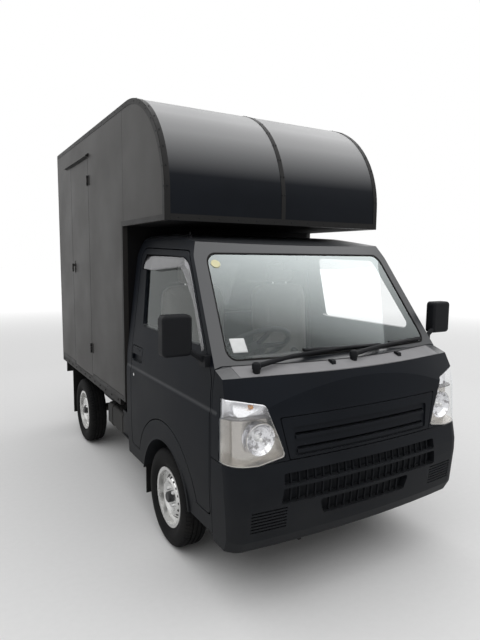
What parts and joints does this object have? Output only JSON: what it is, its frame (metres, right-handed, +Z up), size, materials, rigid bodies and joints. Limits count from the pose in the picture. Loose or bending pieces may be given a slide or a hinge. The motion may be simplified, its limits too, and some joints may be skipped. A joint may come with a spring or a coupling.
{
  "type": "kei truck with box body",
  "caption": "Small cab-over truck with a tall box body whose rounded nose reaches over the cab, with turning and steering wheels, cab doors, a side door and rear doors.",
  "frame": {"origin": "centre of the overall box at ground level, under the middle of the truck", "axes": "+X to the truck's left, +Y to the rear, +Z up; the truck faces -Y"},
  "size_m": [1.862, 3.395, 2.507],
  "materials": {
    "body_black": "matt",
    "box_black": "satin",
    "box_dark": "matt",
    "trim_black": "satin",
    "rail_grey": "satin",
    "chassis_black": "satin",
    "cast_grey": "rough",
    "engine_grey": "rough",
    "exhaust_steel": "dull",
    "plastic_black": "matt",
    "plastic_grey": "grained",
    "cowl_grey": "matt",
    "seat_fabric": "woven",
    "rubber": "matt",
    "tyre": "matt",
    "rim_silver": "satin",
    "glass": "clear",
    "lens": "clear",
    "reflector": "polished",
    "tail_red": "gloss"
  },
  "bodies": {
    "chassis": {"frame_rails": "chassis_black", "frame_crosses": "chassis_black", "tow_eyes": "chassis_black", "battery": "plastic_black", "rear_axle": "cast_grey", "leaf_springs": "chassis_black", "front_suspension": "chassis_black", "engine_block": "engine_grey", "prop_shaft": "chassis_black", "exhaust": "exhaust_steel", "fuel_tank": "chassis_black", "cab_shell": "body_black", "front_panel": "body_black", "grille": "body_black", "front_bumper": "body_black", "cowl": "cowl_grey", "headlamp_lenses": "lens", "headlamp_bowls": "reflector", "windscreen": "glass", "cab_rear_glass": "glass", "glass_seals": "rubber", "dashboard": "plastic_grey", "seats": "seat_fabric", "wipers": "plastic_black", "mud_flaps": "rubber", "box_deck": "rail_grey", "deck_bearers": "rail_grey", "box_rails": "rail_grey", "box_side_left": "box_black", "box_side_right": "box_black", "box_roof": "box_black", "nose_panels": "box_black", "box_front_wall": "box_dark", "box_trims": "trim_black", "rear_frame": "box_black", "tail_lamps": "tail_red", "rear_bumper": "chassis_black"},
    "knuckle_left": {"knuckle_left": "cast_grey"},
    "knuckle_right": {"knuckle_right": "cast_grey"},
    "steering": {"steering_wheel": "plastic_black"},
    "door_left": {"cab_door_left": "body_black", "door_glass_left": "glass", "mirror_left": "plastic_black"},
    "door_right": {"cab_door_right": "body_black", "door_glass_right": "glass", "mirror_right": "plastic_black"},
    "box_door_side": {"box_side_door": "box_black"},
    "box_door_rear_left": {"rear_door_left": "box_black"},
    "box_door_rear_right": {"rear_door_right": "box_black"},
    "wheel_front_left": {"tyre_front_left": "tyre", "rim_front_left": "rim_silver"},
    "wheel_front_right": {"tyre_front_right": "tyre", "rim_front_right": "rim_silver"},
    "wheel_rear_left": {"tyre_rear_left": "tyre", "rim_rear_left": "rim_silver"},
    "wheel_rear_right": {"tyre_rear_right": "tyre", "rim_rear_right": "rim_silver"}
  },
  "joints": [
    {"name": "steer_right", "type": "hinge", "parent": "chassis", "child": "knuckle_right", "pos_m": [-0.6, -0.8875, 0.268], "axis": [0, 0, 1], "range_deg": [-35, 35]},
    {"name": "steer_left", "type": "hinge", "parent": "chassis", "child": "knuckle_left", "pos_m": [0.6, -0.8875, 0.268], "axis": [0, 0, 1], "range_deg": [-35, 35]},
    {"name": "steering_turn", "type": "hinge", "parent": "chassis", "child": "steering", "pos_m": [-0.335, -1.18, 1.13], "axis": [0, 0.6, 0.8], "range_deg": [-525, 525]},
    {"name": "spin_front_left", "type": "hinge", "parent": "knuckle_left", "child": "wheel_front_left", "pos_m": [0.6525, -0.8875, 0.268], "axis": [1, 0, 0], "continuous": true},
    {"name": "spin_front_right", "type": "hinge", "parent": "knuckle_right", "child": "wheel_front_right", "pos_m": [-0.6525, -0.8875, 0.268], "axis": [1, 0, 0], "continuous": true},
    {"name": "spin_rear_left", "type": "hinge", "parent": "chassis", "child": "wheel_rear_left", "pos_m": [0.645, 1.0175, 0.268], "axis": [1, 0, 0], "continuous": true},
    {"name": "spin_rear_right", "type": "hinge", "parent": "chassis", "child": "wheel_rear_right", "pos_m": [-0.645, 1.0175, 0.268], "axis": [1, 0, 0], "continuous": true},
    {"name": "door_left_hinge", "type": "hinge", "parent": "chassis", "child": "door_left", "pos_m": [0.7365, -1.432, 0.8], "axis": [0, 0, -1], "range_deg": [0, 65]},
    {"name": "door_right_hinge", "type": "hinge", "parent": "chassis", "child": "door_right", "pos_m": [-0.7365, -1.432, 0.8], "axis": [0, 0, 1], "range_deg": [0, 65]},
    {"name": "side_door_hinge", "type": "hinge", "parent": "chassis", "child": "box_door_side", "pos_m": [-0.742, 0.5825, 1.4], "axis": [0, 0, 1], "range_deg": [0, 105]},
    {"name": "rear_left_hinge", "type": "hinge", "parent": "chassis", "child": "box_door_rear_left", "pos_m": [0.6905, 1.6805, 1.4], "axis": [0, 0, -1], "range_deg": [0, 110]},
    {"name": "rear_right_hinge", "type": "hinge", "parent": "chassis", "child": "box_door_rear_right", "pos_m": [-0.6905, 1.6805, 1.4], "axis": [0, 0, 1], "range_deg": [0, 110]}
  ],
  "couplings": [
    {"joint": "steer_left", "follows": "steer_right", "ratio": 1},
    {"joint": "steering_turn", "follows": "steer_right", "ratio": 15}
  ]
}
